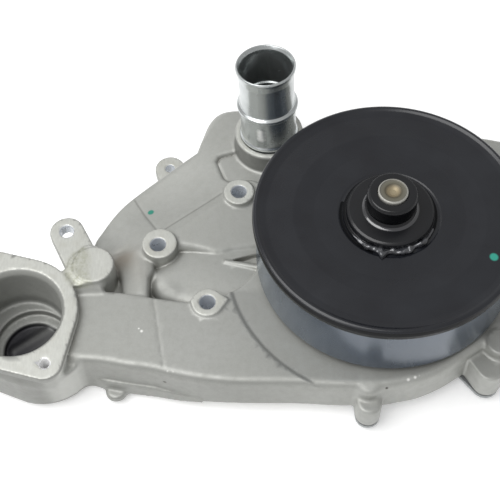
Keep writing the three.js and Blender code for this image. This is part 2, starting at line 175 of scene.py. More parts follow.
class Mat:
    """A small node-tree builder: numbers go straight onto sockets, links only where something varies."""

    def __init__(self, name):
        self.m = bpy.data.materials.new(name)
        self.m.use_nodes = True
        self.t = self.m.node_tree
        self.t.nodes.clear()
        self.out = self.t.nodes.new("ShaderNodeOutputMaterial")
        self.b = self.t.nodes.new("ShaderNodeBsdfPrincipled")
        self.t.links.new(self.b.outputs[0], self.out.inputs["Surface"])
        self.pos = self.t.nodes.new("ShaderNodeTexCoord").outputs["Object"]

    def node(self, kind, **kw):
        n = self.t.nodes.new(kind)
        for k, v in kw.items():
            setattr(n, k, v)
        return n

    def put(self, socket, v):
        if hasattr(v, "is_output") or isinstance(v, bpy.types.NodeSocket):
            self.t.links.new(v, socket)
        else:
            socket.default_value = v

    def noise(self, scale, detail=3.0, rough=0.55, vec=None, stretch=None):
        n = self.node("ShaderNodeTexNoise")
        n.inputs["Scale"].default_value = scale
        n.inputs["Detail"].default_value = detail
        n.inputs["Roughness"].default_value = rough
        v = vec if vec is not None else self.pos
        if stretch is not None:
            mp = self.node("ShaderNodeMapping")
            self.t.links.new(v, mp.inputs["Vector"])
            mp.inputs["Scale"].default_value = stretch
            v = mp.outputs[0]
        self.t.links.new(v, n.inputs["Vector"])
        return n.outputs["Fac"]

    def ramp(self, fac, stops):
        n = self.node("ShaderNodeValToRGB")
        e = n.color_ramp.elements
        while len(e) < len(stops):
            e.new(0.5)
        for el, (p, c) in zip(e, stops):
            el.position = p
            el.color = (c, c, c, 1) if isinstance(c, (int, float)) else (*c, 1)
        self.t.links.new(fac, n.inputs[0])
        return n.outputs[0]

    def mix(self, fac, a, b):
        n = self.node("ShaderNodeMix", data_type="RGBA")
        self.put(n.inputs[0], fac)
        self.put(n.inputs[6], (*a, 1) if isinstance(a, tuple) and len(a) == 3 else a)
        self.put(n.inputs[7], (*b, 1) if isinstance(b, tuple) and len(b) == 3 else b)
        return n.outputs[2]

    def math(self, op, a, b=0.0, clamp=False):
        n = self.node("ShaderNodeMath", operation=op)
        n.use_clamp = clamp
        self.put(n.inputs[0], a)
        self.put(n.inputs[1], b)
        return n.outputs[0]

    def attr(self, name):
        return self.node("ShaderNodeAttribute", attribute_name=name).outputs["Fac"]

    def spot(self, x, y, r, soft=0.25, z=None):
        """1 inside a small round mark at a place on the part (mm from the pulley axis), 0 outside."""
        sep = self.node("ShaderNodeSeparateXYZ")
        self.t.links.new(self.pos, sep.inputs[0])
        a = self.math("SUBTRACT", sep.outputs[0], (AX + x) * 1e-3)
        b = self.math("SUBTRACT", sep.outputs[1], (AY + y) * 1e-3)
        d = self.math("ADD", self.math("MULTIPLY", a, a), self.math("MULTIPLY", b, b))
        if z is not None:
            c = self.math("SUBTRACT", sep.outputs[2], (AZ + z) * 1e-3)
            d = self.math("ADD", d, self.math("MULTIPLY", c, c))
        d = self.math("SQRT", d)
        n = self.node("ShaderNodeMapRange")
        n.inputs["From Min"].default_value = r * 1e-3 * (1 + soft)
        n.inputs["From Max"].default_value = r * 1e-3 * (1 - soft)
        self.t.links.new(d, n.inputs["Value"])
        return n.outputs[0]

    def line(self, a, b, w):
        """1 along a straight mark from a to b (mm from the pulley axis), w mm to each side."""
        sep = self.node("ShaderNodeSeparateXYZ")
        self.t.links.new(self.pos, sep.inputs[0])
        L = math.hypot(b[0] - a[0], b[1] - a[1])
        dx, dy = (b[0] - a[0]) / L, (b[1] - a[1]) / L
        x = self.math("SUBTRACT", sep.outputs[0], (AX + a[0]) * 1e-3)
        y = self.math("SUBTRACT", sep.outputs[1], (AY + a[1]) * 1e-3)
        u = self.math("ADD", self.math("MULTIPLY", x, dx), self.math("MULTIPLY", y, dy))
        v = self.math("ABSOLUTE", self.math("SUBTRACT", self.math("MULTIPLY", y, dx), self.math("MULTIPLY", x, dy)))

        def fade(val, lo, hi):
            n = self.node("ShaderNodeMapRange")
            n.inputs["From Min"].default_value = lo * 1e-3
            n.inputs["From Max"].default_value = hi * 1e-3
            self.t.links.new(val, n.inputs["Value"])
            return n.outputs[0]
        return self.math("MULTIPLY", fade(v, w, w * 0.3), self.math("MULTIPLY", fade(u, -1.0, 1.0), fade(u, L + 1.0, L - 1.0)))

    def bump(self, height, strength=0.3, distance=0.0002, normal=None):
        n = self.node("ShaderNodeBump")
        n.inputs["Strength"].default_value = strength
        n.inputs["Distance"].default_value = distance
        self.t.links.new(height, n.inputs["Height"])
        if normal is not None:
            self.t.links.new(normal, n.inputs["Normal"])
        return n.outputs[0]

    def set(self, **kw):
        names = {"color": "Base Color", "rough": "Roughness", "metal": "Metallic", "normal": "Normal", "spec": "Specular IOR Level",
                 "coat": "Coat Weight", "coat_rough": "Coat Roughness", "aniso": "Anisotropic"}
        for k, v in kw.items():
            s = self.b.inputs[names[k]]
            if k == "color" and isinstance(v, tuple):
                v = (*v, 1)
            self.put(s, v)
        return self.m


def srgb(h):
    c = [int(h[i:i + 2], 16) / 255 for i in (1, 3, 5)]
    return tuple(x / 12.92 if x <= 0.04045 else ((x + 0.055) / 1.055) ** 2.4 for x in c)


GLINTS = [(-147.6, -46.3, -50, 0.8), (-149.3, -44.5, -50, 0.5), (7.5, -82.6, -52, 0.9), (11.5, -81.2, -52, 0.8), (14.0, -80.0, -52.5, 0.6), (-128.5, -72.9, -51.6, 0.8), (-131.8, -72.4, -51.6, 0.7)]
# lines of painted shade along the roof's scribed grooves: start, end, half width, strength
SCRIBED_GROOVE_SHADE = [((-135.8, 27.7), (-98.5, 54.3), 1.0, 0.42), ((-139.9, 27.7), (-156.5, 58.9), 1.0, 0.5)]
PITS = [(-134.6, -75.0, -62.0, 1.2), (-5.2, -86.3, -54.5, 0.8)]


def cast_material():
    m = Mat("cast_aluminium")
    big = m.noise(22, 3, 0.55)
    mid = m.noise(210, 4, 0.6)
    fine = m.noise(1700, 3, 0.7)
    base = m.mix(m.ramp(big, [(0.3, 0.0), (0.7, 1.0)]), srgb("#a5a6a1"), srgb("#abaca8"))
    base = m.mix(m.ramp(mid, [(0.42, 0.0), (0.8, 0.45)]), base, srgb("#989993"))
    base = m.mix(m.ramp(fine, [(0.4, 0.0), (0.8, 0.45)]), base, srgb("#b9bab6"))
    stain = m.noise(38, 5, 0.65)
    # painted shade: crevices and corners darkened from the occlusion attribute, broken up by grime-like noise
    base = m.mix(m.math("MULTIPLY", m.attr("dirt_and_crevice_shade"), m.ramp(stain, [(0.3, 0.35), (0.6, 0.9)])), base, srgb("#7d7a72"))
    # painted shade in the deep thermostat well, near black
    base = m.mix(m.attr("painted_well_shade"), base, srgb("#1f1e26"))
    # machined faces: brighter, with the cutter's fine marks
    mill = m.noise(900, 3, 0.6, stretch=(1.0, 0.25, 1.0))
    bright = m.mix(m.ramp(mill, [(0.35, 0.0), (0.65, 1.0)]), srgb("#bcbdb7"), srgb("#c5c6c0"))
    bright = m.mix(m.ramp(m.noise(95, 4, 0.6), [(0.5, 0.0), (0.72, 0.5)]), bright, srgb("#b1b0a6"))
    mach = m.attr("machined")
    # painted shade, brownish, in the valley and pocket beside pad E
    base = m.mix(m.math("MULTIPLY", m.attr("painted_valley_shade"), 0.75), base, srgb("#857c70"))
    col = m.mix(mach, base, bright)
    # rough skin left beside the pad; the bores further down are bright metal with painted light
    patchy = m.ramp(m.noise(420, 5, 0.7), [(0.4, 0.35), (0.62, 1.0)])
    tint = m.mix(m.ramp(m.noise(260, 4, 0.7), [(0.5, 0.0), (0.68, 1.0)]), srgb("#a9aa9c"), srgb("#8f9080"))
    col = m.mix(m.math("MULTIPLY", m.attr("stain"), patchy), col, tint)
    col = m.mix(m.spot(-145.1, 46.6, 2.0, 0.2), col, srgb("#388e7c"))
    for x, y, z, r in GLINTS:
        col = m.mix(m.spot(x, y, r, 0.5, z), col, srgb("#eeeeea"))
    for x, y, z, r in PITS:
        col = m.mix(m.spot(x, y, r, 0.4, z), col, srgb("#55534e"))
    sep = m.node("ShaderNodeSeparateXYZ")
    m.t.links.new(m.pos, sep.inputs[0])
    above = m.math("GREATER_THAN", sep.outputs[2], (AZ - 75) * 1e-3)
    # painted shade along the two scribed grooves on the roof
    for a, b, w, k in SCRIBED_GROOVE_SHADE:
        col = m.mix(m.math("MULTIPLY", m.math("MULTIPLY", m.line(a, b, w), above), k), col, srgb("#6f706b"))
    # painted light: the cast wall right of the thermostat flange is lightened
    col = m.mix(m.math("MULTIPLY", m.attr("painted_fill_light"), 0.8), col, srgb("#e2e3de"))
    # painted shade from the shade attribute
    col = m.mix(m.attr("shade"), col, srgb("#000000"))
    # bores: bright machined metal, lightened further as painted light
    bore_metal_and_painted_light = m.attr("bore_metal_and_painted_light")
    col = m.mix(bore_metal_and_painted_light, col, srgb("#dde1e6"))
    # painted light: the flange bolt hole goes white, as if the floor showed through
    col = m.mix(m.spot(-202.8, -68.7, 4.2, 0.15), col, m.mix(bore_metal_and_painted_light, col, srgb("#ffffff")))
    rough = m.math("ADD", m.math("MULTIPLY", mach, -0.06), m.ramp(mid, [(0.3, 0.44), (0.7, 0.56)]))
    rough = m.math("SUBTRACT", rough, m.math("MULTIPLY", bore_metal_and_painted_light, 0.2))
    grain = m.bump(fine, 0.25, 0.00012)
    lump = m.bump(mid, 0.16, 0.0005, grain)
    return m.set(color=col, rough=rough, metal=0.45, normal=lump, spec=0.5)


def plated_material(name, hexa, rough=0.26, streak=0.06):
    m = Mat(name)
    n = m.noise(70, 4, 0.6)
    f = m.noise(900, 2, 0.6)
    col = m.mix(m.ramp(n, [(0.3, 0.0), (0.7, 1.0)]), srgb(hexa), tuple(0.86 * c for c in srgb(hexa)))
    r = m.math("ADD", m.ramp(n, [(0.3, rough - streak / 2), (0.7, rough + streak / 2)]), m.math("MULTIPLY", f, 0.03))
    if name == "zinc_tube":
        # the dimple on the tube's side gets a painted highlight in white, and a rougher finish
        dimple_painted_highlight = m.math("MAXIMUM", m.spot(-72.6, 78.0, 2.3, 0.45, -22.0), m.math("MAXIMUM", m.spot(-72.5, 77.8, 2.3, 0.45, -25.0), m.spot(-72.4, 77.5, 2.3, 0.45, -28.0)))
        col = m.mix(m.math("MULTIPLY", dimple_painted_highlight, 0.9), col, srgb("#ffffff"))
        r = m.math("ADD", r, m.math("MULTIPLY", dimple_painted_highlight, 0.3))
    return m.set(color=col, rough=r, metal=0.95, normal=m.bump(m.noise(240, 3, 0.6), 0.08, 0.0002))


def paint_material(name="black_paint", rough=0.27, bumpy=0.05, dark="#17181d", light="#1e2025"):
    m = Mat(name)
    n = m.noise(34, 3, 0.5)
    f = m.noise(1100, 2, 0.6)
    col = m.mix(m.ramp(n, [(0.3, 0.0), (0.7, 1.0)]), srgb(dark), srgb(light))
    col = m.mix(m.spot(55.7, -32.3, 2.4, 0.2, -1.2), col, srgb("#2f9583"))
    r = m.ramp(n, [(0.25, rough - 0.03), (0.75, rough + 0.05)])
    return m.set(color=col, rough=r, metal=0.0, spec=0.42, coat=0.2, coat_rough=0.2,
                 normal=m.bump(f, 0.08, 0.00006, m.bump(m.noise(120, 2, 0.5), bumpy, 0.0004)))


def weld_material():
    m = Mat("weld_paint")
    col = m.mix(m.ramp(m.noise(200, 3, 0.6), [(0.3, 0.0), (0.7, 1.0)]), srgb("#1b1c20"), srgb("#4b4d52"))
    return m.set(color=col, rough=m.ramp(m.noise(500, 3, 0.6), [(0.3, 0.12), (0.7, 0.26)]), metal=0.35, spec=0.9, coat=1.0, coat_rough=0.08,
                 normal=m.bump(m.noise(420, 3, 0.6), 0.5, 0.0006))


# a darker, duller copy of the black paint: painted shade on the rim lip, the hub sleeve wall and disc edge, and the
# left part of the groove round the hub
def shaded_black_material():
    m = Mat("painted_shade_black")
    col = m.mix(m.ramp(m.noise(34, 3, 0.5), [(0.3, 0.0), (0.7, 1.0)]), srgb("#07080a"), srgb("#0c0d10"))
    return m.set(color=col, rough=m.ramp(m.noise(120, 3, 0.6), [(0.25, 0.3), (0.75, 0.4)]), metal=0.0, spec=0.12, normal=m.bump(m.noise(900, 2, 0.5), 0.06, 0.0001))


def gloss_material():
    m = Mat("wet_paint_fillet")
    col = m.mix(m.ramp(m.noise(60, 3, 0.5), [(0.3, 0.0), (0.7, 1.0)]), srgb("#15161b"), srgb("#1c1d23"))
    return m.set(color=col, rough=m.ramp(m.noise(140, 3, 0.6), [(0.25, 0.12), (0.75, 0.2)]), metal=0.0, spec=1.0, coat=1.0, coat_rough=0.06,
                 normal=m.bump(m.noise(700, 2, 0.5), 0.08, 0.0001))


def drum_material():
    """The belt's running surface and the lip below it: glossier, mirrors the surroundings; its blue colour and blue
    specular and coat tints are a painted reflection.
    """
    m = Mat("belt_track_paint_blue_reflection")
    n = m.noise(30, 3, 0.5)
    col = m.mix(m.ramp(n, [(0.3, 0.0), (0.7, 1.0)]), srgb("#1a212f"), srgb("#222b3b"))
    r = m.ramp(m.noise(90, 3, 0.6, stretch=(1.0, 1.0, 0.2)), [(0.25, 0.2), (0.75, 0.3)])
    m.b.inputs["Specular Tint"].default_value = (0.78, 0.9, 1.0, 1)
    m.b.inputs["Coat Tint"].default_value = (0.82, 0.91, 1.0, 1)
    return m.set(color=col, rough=r, metal=0.0, spec=0.8, coat=0.5, coat_rough=0.2, normal=m.bump(m.noise(60, 2, 0.5), 0.05, 0.0004))


def plain_material(name, hexa, rough, metal, vary=0.12, grain=600, strength=0.12, spec=0.5):
    m = Mat(name)
    n = m.noise(60, 4, 0.6)
    base = srgb(hexa)
    col = m.mix(m.ramp(n, [(0.3, 0.0), (0.7, 1.0)]), tuple(c * (1 - vary) for c in base), tuple(min(1, c * (1 + vary)) for c in base))
    r = m.ramp(m.noise(140, 3, 0.6), [(0.3, rough - 0.05), (0.7, rough + 0.06)])
    return m.set(color=col, rough=r, metal=metal, spec=spec, normal=m.bump(m.noise(grain, 2, 0.6), strength, 0.0001))


CAST = cast_material()
ZINC = plated_material("zinc_tube", "#c9cdcd", 0.24)
ZINC2 = plated_material("zinc_screw", "#b9bdbb", 0.34)
PAINT = paint_material()
HUB_PAINT = paint_material("hub_black_paint", 0.3, 0.05, "#0b0c0f", "#111216")
DRUM = drum_material()
SHADED_BLACK = shaded_black_material()
GLOSS = gloss_material()
STEEL = plated_material("ground_steel", "#9c9d9c", 0.34)


def shaft_material():
    m = Mat("shaft_end_steel")
    sep = m.node("ShaderNodeSeparateXYZ")
    m.t.links.new(m.pos, sep.inputs[0])
    dx = m.math("SUBTRACT", sep.outputs[0], AX * 1e-3)
    dy = m.math("SUBTRACT", sep.outputs[1], AY * 1e-3)
    r = m.math("SQRT", m.math("ADD", m.math("MULTIPLY", dx, dx), m.math("MULTIPLY", dy, dy)))
    ends = m.ramp(m.math("MULTIPLY", r, 100.0), [(0.0, srgb("#a2967c")), (0.30, srgb("#94886f")), (0.47, srgb("#5d584c")), (0.56, srgb("#706d60")), (0.74, srgb("#75736a")), (0.82, srgb("#b3b2ac"))])
    top = m.math("GREATER_THAN", sep.outputs[2], (AZ + 15.0) * 1e-3)
    col = m.mix(top, srgb("#9c9d9c"), ends)
    spiral = m.noise(1500, 2, 0.6)
    return m.set(color=col, rough=m.ramp(m.noise(300, 3, 0.6), [(0.3, 0.42), (0.7, 0.54)]), metal=0.55, spec=0.4, normal=m.bump(spiral, 0.12, 0.0001))


SHAFT = shaft_material()
RACE = plated_material("bearing_steel", "#8f9294", 0.28)
STAMPED = plated_material("stamped_steel", "#a5a8a8", 0.42, 0.1)
RUBBER = plain_material("rubber", "#18181a", 0.62, 0.0)
GASKET = plain_material("gasket", "#6f7172", 0.6, 0.1)
BRASS = plain_material("brass", "#b59a55", 0.36, 1.0)
CARBON = plain_material("carbon", "#28292c", 0.5, 0.1)
CERAMIC = plain_material("ceramic", "#e0dbce", 0.32, 0.0, 0.04)
NYLON = plain_material("cage_polymer", "#7a6a4a", 0.5, 0.0)
WELD = weld_material()
TEAL = plain_material("paint_dot", "#2f9a86", 0.5, 0.0)

# ------------------------------------------------------------------ the casting as a distance field
H = 0.8
LO = np.array([-264.0, -109.0, -91.0])
HI = np.array([157.0, 133.0, -9.0])
NX, NY, NZ = (int(math.ceil(v)) + 1 for v in (HI - LO) / H)
gx, gy, gz = (F(LO[i]) + F(H) * np.arange(n, dtype=F) for i, n in enumerate((NX, NY, NZ)))
D = np.full((NX, NY, NZ), 30.0, F)


def rmax(a, b, r):
    u, v = np.maximum(a + r, 0), np.maximum(b + r, 0)
    return np.minimum(np.maximum(a, b), -r) + np.sqrt(u * u + v * v)


def rmin(a, b, r):
    u, v = np.maximum(r - a, 0), np.maximum(r - b, 0)
    return np.maximum(np.minimum(a, b), r) - np.sqrt(u * u + v * v)


def smin(a, b, k):
    h = np.maximum(k - np.abs(a - b), 0) / k
    return np.minimum(a, b) - h * h * k * 0.25


def smax(a, b, k):
    return -smin(-a, -b, k)


def region(bx, pad):
    sl, ax = [], []
    for i, (g, n) in enumerate(((gx, NX), (gy, NY), (gz, NZ))):
        a = max(0, int((bx[2 * i] - pad - LO[i]) / H))
        b = min(n, int((bx[2 * i + 1] + pad - LO[i]) / H) + 2)
        sl.append(slice(a, b))
        ax.append(g[a:b])
    return tuple(sl), ax[0][:, None, None], ax[1][None, :, None], ax[2][None, None, :]


def add(fn, bx, r=1.5):
    s, X, Y, Z = region(bx, 7)
    D[s] = rmin(D[s], fn(X, Y, Z).astype(F), r(X, Y) if callable(r) else F(r))


def cut(fn, bx, r=0.5):
    s, X, Y, Z = region(bx, 3)
    D[s] = rmax(D[s], -fn(X, Y, Z).astype(F), F(r))


def poly(P, X, Y):
    P = np.asarray(P, F)
    X, Y = X[:, :, 0], Y[:, :, 0]
    d = np.full(np.broadcast(X, Y).shape, 1e9, F)
    s = np.ones(d.shape, bool)
    for i in range(len(P)):
        a, b = P[i], P[(i + 1) % len(P)]
        ex, ey = b - a
        if ex * ex + ey * ey < 1e-9:
            continue
        wx, wy = X - a[0], Y - a[1]
        t = np.clip((wx * ex + wy * ey) / (ex * ex + ey * ey), 0, 1)
        d = np.minimum(d, (wx - ex * t) ** 2 + (wy - ey * t) ** 2)
        c1, c2, c3 = (Y >= a[1]), (Y < b[1]), (ex * wy > ey * wx)
        s ^= (c1 & c2 & c3) | (~c1 & ~c2 & ~c3)
    return (np.where(s, 1, -1) * np.sqrt(d))[:, :, None]


def spline(P, per=6, closed=False):
    P = [np.array(p, float) for p in P]
    n = len(P)
    out = []
    for i in range(n if closed else n - 1):
        p0, p1, p2, p3 = (P[(i + k) % n] if closed else P[min(max(i + k, 0), n - 1)] for k in (-1, 0, 1, 2))
        for k in range(per):
            t = k / per
            out.append(0.5 * ((2 * p1) + (-p0 + p2) * t + (2 * p0 - 5 * p1 + 4 * p2 - p3) * t * t + (-p0 + 3 * p1 - 3 * p2 + p3) * t ** 3))
    if not closed:
        out.append(P[-1])
    return out


def hull(discs, n=40):
    pts = sorted((x + r * math.cos(2 * math.pi * i / n), y + r * math.sin(2 * math.pi * i / n)) for x, y, r in discs for i in range(n))

    def half(seq):
        h = []
        for p in seq:
            while len(h) > 1 and (h[-1][0] - h[-2][0]) * (p[1] - h[-2][1]) - (h[-1][1] - h[-2][1]) * (p[0] - h[-2][0]) <= 1e-9:
                h.pop()
            h.append(p)
        return h[:-1]
    return half(pts) + half(pts[::-1])


def bounds2(P):
    P = np.asarray([p[:2] for p in P])
    return [P[:, 0].min(), P[:, 0].max(), P[:, 1].min(), P[:, 1].max()]


def prism(P, z0, z1, rt=0.6, rb=0.6, r=1.5, top=None, slope=1.0, draft=0.0, op=add, floor=None):
    """Prism over a plan outline; top(X, Y) may replace the flat top z1. rt, rb: edge radii; r: fillet to what is there."""
    def fn(X, Y, Z):
        s = poly(P, X, Y)
        s = s - F(draft) * (F(z1) - Z) if draft else s
        t = (Z - F(z1)) if top is None else (Z - top(X, Y)) / F(slope)
        rr = rt(X, Y) if callable(rt) else F(rt)
        low = (F(z0) - Z) if floor is None else (floor(X, Y) - Z)
        rl = rb(X, Y) if callable(rb) else F(rb)
        return rmax(rmax(s, t, rr), low, rl)
    op(fn, bounds2(P) + [z0, z1], r)


def cyl(x, y, rad, z0, z1, rt=0.5, rb=0.5, r=1.5, draft=0.0, op=add):
    def fn(X, Y, Z):
        s = np.sqrt((X - F(x)) ** 2 + (Y - F(y)) ** 2) - F(rad)
        if draft:
            s = s - F(draft) * (F(z1) - Z)
        return rmax(rmax(s, Z - F(z1), F(rt)), F(z0) - Z, F(rb))
    w = rad + abs(draft) * (z1 - z0)
    op(fn, [x - w, x + w, y - w, y + w, z0, z1], r)


def link(discs, z0, z1, rt=0.6, rb=0.6, r=1.5, op=add, **kw):
    prism(hull(discs), z0, z1, rt, rb, r, op=op, **kw)


def block(x0, x1, y0, y1, z0, z1, rad=3, op=add, r=0.5):
    prism(hull([(x0 + rad, y0 + rad, rad), (x1 - rad, y0 + rad, rad), (x0 + rad, y1 - rad, rad), (x1 - rad, y1 - rad, rad)], 16), z0, z1, 0.4, 0.4, r, op=op)


DECK, JOINT, PORT, BOSS = -50.0, -79.5, -88.0, -48.5
FRONT = [(-186, -64.3), (-171.4, -66), (-156, -69.4), (-142, -72), (-128, -76), (-112.9, -79.6), (-98, -81.9), (-84.1, -83), (-55.3, -84.2),
         (-32.5, -86.2), (-7.2, -86.9), (5, -85.2), (13.8, -83.6), (23, -80.3), (32.1, -75.9), (45.4, -67.3)]
BACK = [(-96, -21.5), (-104, -27), (-117.6, -27.5), (-138.2, -24.0), (-157.1, -19.8), (-170.5, -17.9), (-188, -16.7)]
RIGHT = [(45.4, -67.3), (62, -57), (76, -44), (84, -28), (86, 0), (84, 24), (76, 44), (60, 62), (40, 76), (15, 84), (-15, 84), (-40, 76),
         (-60, 62), (-72, 44), (-76, 20), (-77, -2), (-83, -11.3), (-89.4, -17.4), (-96, -21.5)]
BODY = [(-204, -60)] + spline(FRONT, 5) + spline(RIGHT, 5)[1:] + spline(BACK, 4)[1:] + [(-204, -22)]
SIL = [(-176, 12), (-181.0, 20), (-180.6, 27), (-176.0, 35.5), (-171.4, 43.5), (-164.5, 53.2), (-154.6, 63.1), (-141.9, 73.0), (-130.3, 80.5), (-115.1, 91.0)]
LOBE = [(-115.1, 91.0), (-112.5, 99), (-111.1, 105.3), (-109.3, 114), (-106.2, 121), (-101.5, 126.5), (-95.0, 129.4), (-85.5, 130), (-66, 127.5), (-52, 123.4),
        (-46.3, 120), (-43.0, 113), (-36, 104), (-26, 100)]
STEP_R = 96.0


def deck_top(X, Y):
    R = np.sqrt(X * X + Y * Y)
    t = np.clip((F(STEP_R) - R) / F(2.6) + F(0.5), 0, 1)
    z = F(DECK) - F(1.5) * t * t * (3 - 2 * t)
    # faint crease across the arm
    u = (X + 137.0) * 0.99 + (Y + 52.0) * 0.143
    z = z - F(0.28) * np.exp(-(u / 0.9) ** 2) * (R > STEP_R) - F(0.25) * np.clip((-137.0 - X) / 30.0, 0, 1)
    return z.astype(F)


def front_round(X, Y):
    w = np.clip((-Y - 40.0) / 12.0, 0, 1)
    w = np.where(X > 40, np.clip((X - 40) * 0, 0, 1) + w, w)
    return (1.3 + 3.7 * w).astype(F)


def plane(n, c, z, k):
    return lambda X, Y: F(z) - F(k) * (F(n[0]) * X + F(n[1]) * Y - F(c))


def roof(X, Y):
    p2 = plane((-0.6, 0.8), 96.6, -50.6, 0.39)(X, Y)
    p1 = plane((-0.89, 0.46), 131.6, -50.6, 0.41)(X, Y)
    p3 = plane((0.6, -0.8), -94.6, -50.4, 0.165)(X, Y)
    z = smin(p2, p1, 0.8)
    z = smin(z, p3, 0.8)
    # scribed lines along the roof's creases
    z = z - F(0.7) * groove(X, Y, (-135.8, 27.7), (-98.5, 54.3), 0.95) - F(0.7) * groove(X, Y, (-139.9, 27.7), (-156.5, 58.9), 0.95)
    # the dome beside the hose neck: the roof runs up into it
    dome = -53.4 - ((X + 88) ** 2 + (Y - 96) ** 2) / 430.0
    z = smax(z, dome, 8.0)
    return z.astype(F)


def groove(X, Y, a, b, w=0.75):
    ex, ey = b[0] - a[0], b[1] - a[1]
    t = np.clip(((X - a[0]) * ex + (Y - a[1]) * ey) / (ex * ex + ey * ey), 0, 1)
    d2 = (X - a[0] - ex * t) ** 2 + (Y - a[1] - ey * t) ** 2
    return np.exp(-d2 / (w * w)).astype(F)


def mirror(P):
    return [(-p[0], *p[1:]) for p in P][::-1]


def casting():
    silh = spline(SIL, 5)
    lobe = spline(LOBE, 5)
    # ---- left port block: low level, sloping roof, dome
    low = silh + [(-96, 92), (-74, 70), (-66, 44), (-66, 0), (-78, -18), (-97, -36), (-108, -38.7), (-118, -36), (-150, -24), (-176, -20)]
    prism(low, PORT, -64.0, 2.0, 2.0, 1.5)
    rp = silh + lobe[1:] + [(-26, 60), (-50, 40), (-66, 30), (-70, 15.0), (-81.6, 12.6), (-92.6, 11.0), (-98.4, 9.2), (-103.5, 8.8), (-109.2, 10.6), (-116.5, 12.4), (-123.5, 13.4),
                            (-129.5, 13.4), (-138.8, 10), (-147, 7), (-154.4, 9.0), (-163, 11.6), (-171, 9)]
    prism(rp, -79.5, -50.4, lambda X, Y: (4.2 + 6.4 * np.clip((Y - 99) / 14, 0, 1) + 4.5 * np.clip((-146 - X) / 6, 0, 1) * np.clip((26 - Y) / 8, 0, 1)).astype(F), 1.5, 2.0, top=roof, slope=1.06)
    # hollow beside the hose neck: ridge along the dome's foot, then the shelf in front of it
    prism([(-101.5, 81.5), (-100.0, 84.5), (-97.0, 85.8), (-88.9, 87.8), (-78, 91), (-60, 96), (-30, 90), (-40, 60), (-72, 60), (-80, 64), (-94.2, 64.6), (-97.2, 67.5)],
          -57.4, -40, 0.3, 0.8, 2.6, op=cut)
    prism([(-101.0, 80.6), (-99.3, 84.0), (-96.6, 85.2), (-88.6, 87.2), (-80.5, 89.6), (-70, 90), (-68, 56), (-90, 58), (-95.8, 65.6)], -79.5, -55.4, 1.2, 1, 0.8)
    # ---- convex bulge between bosses A and C
    bulge = spline([(-124, 26), (-132.0, 14), (-139.5, 4.5), (-144.6, -1.0), (-144.9, -7.5), (-142.6, -14.0), (-134, -23), (-118, -30), (-92, -34), (-62, -24), (-58, 30)], 5, True)

    def bulge_top(X, Y):
        t = np.maximum(-poly(bulge, X, Y), 0)
        u = np.maximum(11.0 - t, 0) / 11.0
        return (-54.4 - 2.8 * (((X + 107) / 46) ** 2 + ((Y + 8) / 23.0) ** 2) - 5.2 * u ** 2.6).astype(F)
    prism(bulge, -79.5, -53.0, 1.6, 1.0, 0.9, top=bulge_top, slope=1.05)
    # shoulder of the roof's right-hand plane and the short rib beside the pulley
    prism(hull([(-97.0, 3.4, 1.2), (-88, 1.4, 1.3), (-72, -2.6, 1.6)], 16), -64, -53.9, 1.1, 0.5, 1.2)
    prism([(-93.6, 5.0), (-80, 9.4), (-72, 11.4), (-72, 1.6), (-80, 2.9)], -61.5, -50, 0.3, 0.6, 0.8, op=cut)
    # ---- web from boss A down to the arm: a crest that falls away to the left into the valley
    web = [(-160.4, -26), (-160.9, -14), (-162.2, -6), (-165.0, 0), (-170, 11), (-171, 13), (-150, 16), (-141, 13), (-141.6, -1.6), (-144.2, -8.0), (-144.2, -26)]

    def web_top(X, Y):
        c = -147.5 - 0.12 * np.clip(Y + 20, 0, 30)
        left = np.maximum(c - X, 0)
        return (-51.2 - 0.095 * np.maximum(Y + 18, 0) - 0.46 * (np.sqrt(left * left + 9) - 3) - 0.25 * np.maximum(X + 146, 0)).astype(F)
    prism(web, -79.5, -50.0, lambda X, Y: np.where(X < -150, 2.6, 2.0).astype(F) + 0 * Y, 1, 3.0, top=web_top, slope=1.05)
    prism([(-182, -22), (-184, 0), (-178, 14), (-158, 10), (-156, -22)], -79.5, -70.5, 0.5, 1, 2.0)
    # ---- arm and deck
    def arm_floor(X, Y):
        return np.interp(X, [-195, -150, -128, -108, 60], [-84.0, -84.0, -82.0, -79.5, -79.5]).astype(F) + 0 * Y
    prism(BODY, -84.2, DECK, front_round, lambda X, Y: (1.2 + 3.4 * np.clip((X + 118) / 25, 0, 1) * np.clip((-Y - 60) / 15, 0, 1)).astype(F),
          lambda X, Y: (0.8 + 5.0 * np.exp(-(((X + 190) / 9) ** 2 + ((Y + 62) / 9) ** 2))).astype(F), top=deck_top, draft=0.012,
          floor=arm_floor)
    # ---- machined bosses A, B, C
    cyl(-137.9, 14.5, 11.0, PORT, BOSS, 0.6, 2, 1.3, draft=0.01)
    cyl(-137.6, 26.3, 0.8, -62, -49.6, 0.4, 0.4, 1.6)
    cyl(-87.6, 52.0, 9.9, PORT, BOSS, 0.6, 2, 1.6, draft=0.02)
    cyl(-108.3, -28.7, 9.4, PORT, -53, 0.5, 2, 1.0, draft=0.05)
    link([(-108.3, -28.7, 9.5), (-96.6, -27.2, 0.8), (-117.6, -27.2, 1.0)], -58, BOSS, 0.5, 1, 1.8)
